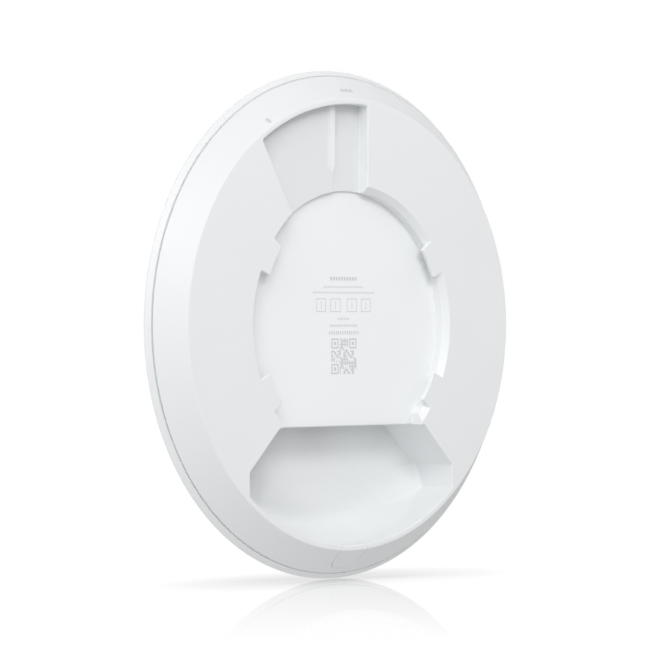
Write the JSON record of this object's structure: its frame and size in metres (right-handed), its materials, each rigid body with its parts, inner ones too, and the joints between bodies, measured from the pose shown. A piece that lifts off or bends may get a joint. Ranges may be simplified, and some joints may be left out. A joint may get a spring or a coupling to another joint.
{
  "type": "ceiling access point",
  "caption": "Round, domed ceiling access point with a recessed bayonet bracket seat, a lock channel and a cable pocket in its flat back, and the boards and parts inside.",
  "frame": {"origin": "centre of the bracket seat, the flat floor of the round recess in the mounting side", "axes": "-Y out of the mounting side, +Y through the dome, +Z from the cable pocket towards the lock channel, +X to the right when the mounting side is seen from outside"},
  "size_m": [0.1714, 0.033, 0.1714],
  "materials": {
    "shell": "fine matte moulded white plastic",
    "lens": "translucent light-diffusing plastic",
    "board": "solder-masked glass-fibre laminate",
    "component": "black moulding compound",
    "ceramic": "fired ceramic",
    "jack": "white moulded plastic",
    "pad": "soft thermal gap pad",
    "heat_sink": "brushed sheet",
    "tin": "tinned sheet steel",
    "screw": "zinc-plated steel",
    "contact": "gold-plated spring contact",
    "ferrite": "pressed ferrite",
    "led": "clear LED package"
  },
  "bodies": {
    "housing": {"rear_cover": "shell", "front_cover": "shell", "centre_cap": "shell", "led_ring_lens": "lens", "light_guide": "lens", "heat_sink_plate": "heat_sink", "main_board": "board", "cpu_chip": "component", "memory_chip": "component", "flash_chip": "component", "ethernet_chip": "component", "radio_chip_24ghz": "component", "radio_chip_5ghz": "component", "power_controller_chip": "component", "crystal": "tin", "bluetooth_antenna": "ceramic", "thermal_pad_cpu_chip": "pad", "thermal_pad_radio_chip_24ghz": "pad", "thermal_pad_radio_chip_5ghz": "pad", "shield_can_24ghz": "tin", "shield_can_5ghz": "tin", "poe_transformer": "ferrite", "lan_transformer": "component", "power_inductor_1": "ferrite", "power_inductor_2": "ferrite", "bulk_capacitor_1": "heat_sink", "bulk_capacitor_2": "heat_sink", "antenna_24ghz_1": "tin", "antenna_24ghz_2": "tin", "antenna_5ghz_1": "tin", "antenna_5ghz_2": "tin", "status_led_1": "led", "status_led_2": "led", "status_led_3": "led", "status_led_4": "led", "board_screw_1": "screw", "board_screw_2": "screw", "board_screw_3": "screw", "board_screw_4": "screw", "rj45_shield": "tin", "rj45_insert": "jack", "rj45_contacts": "contact", "reset_switch_body": "component"},
    "reset_button": {"reset_button": "component"},
    "cable_exit_cover": {"cable_exit_cover": "shell"}
  },
  "joints": [
    {"name": "reset_press", "type": "slide", "parent": "housing", "child": "reset_button", "axis": [0, 0, 1], "range_m": [0, 0.0003]},
    {"name": "exit_cover_lift", "type": "slide", "parent": "housing", "child": "cable_exit_cover", "axis": [0, -1, 0], "range_m": [0, 0.009]}
  ]
}
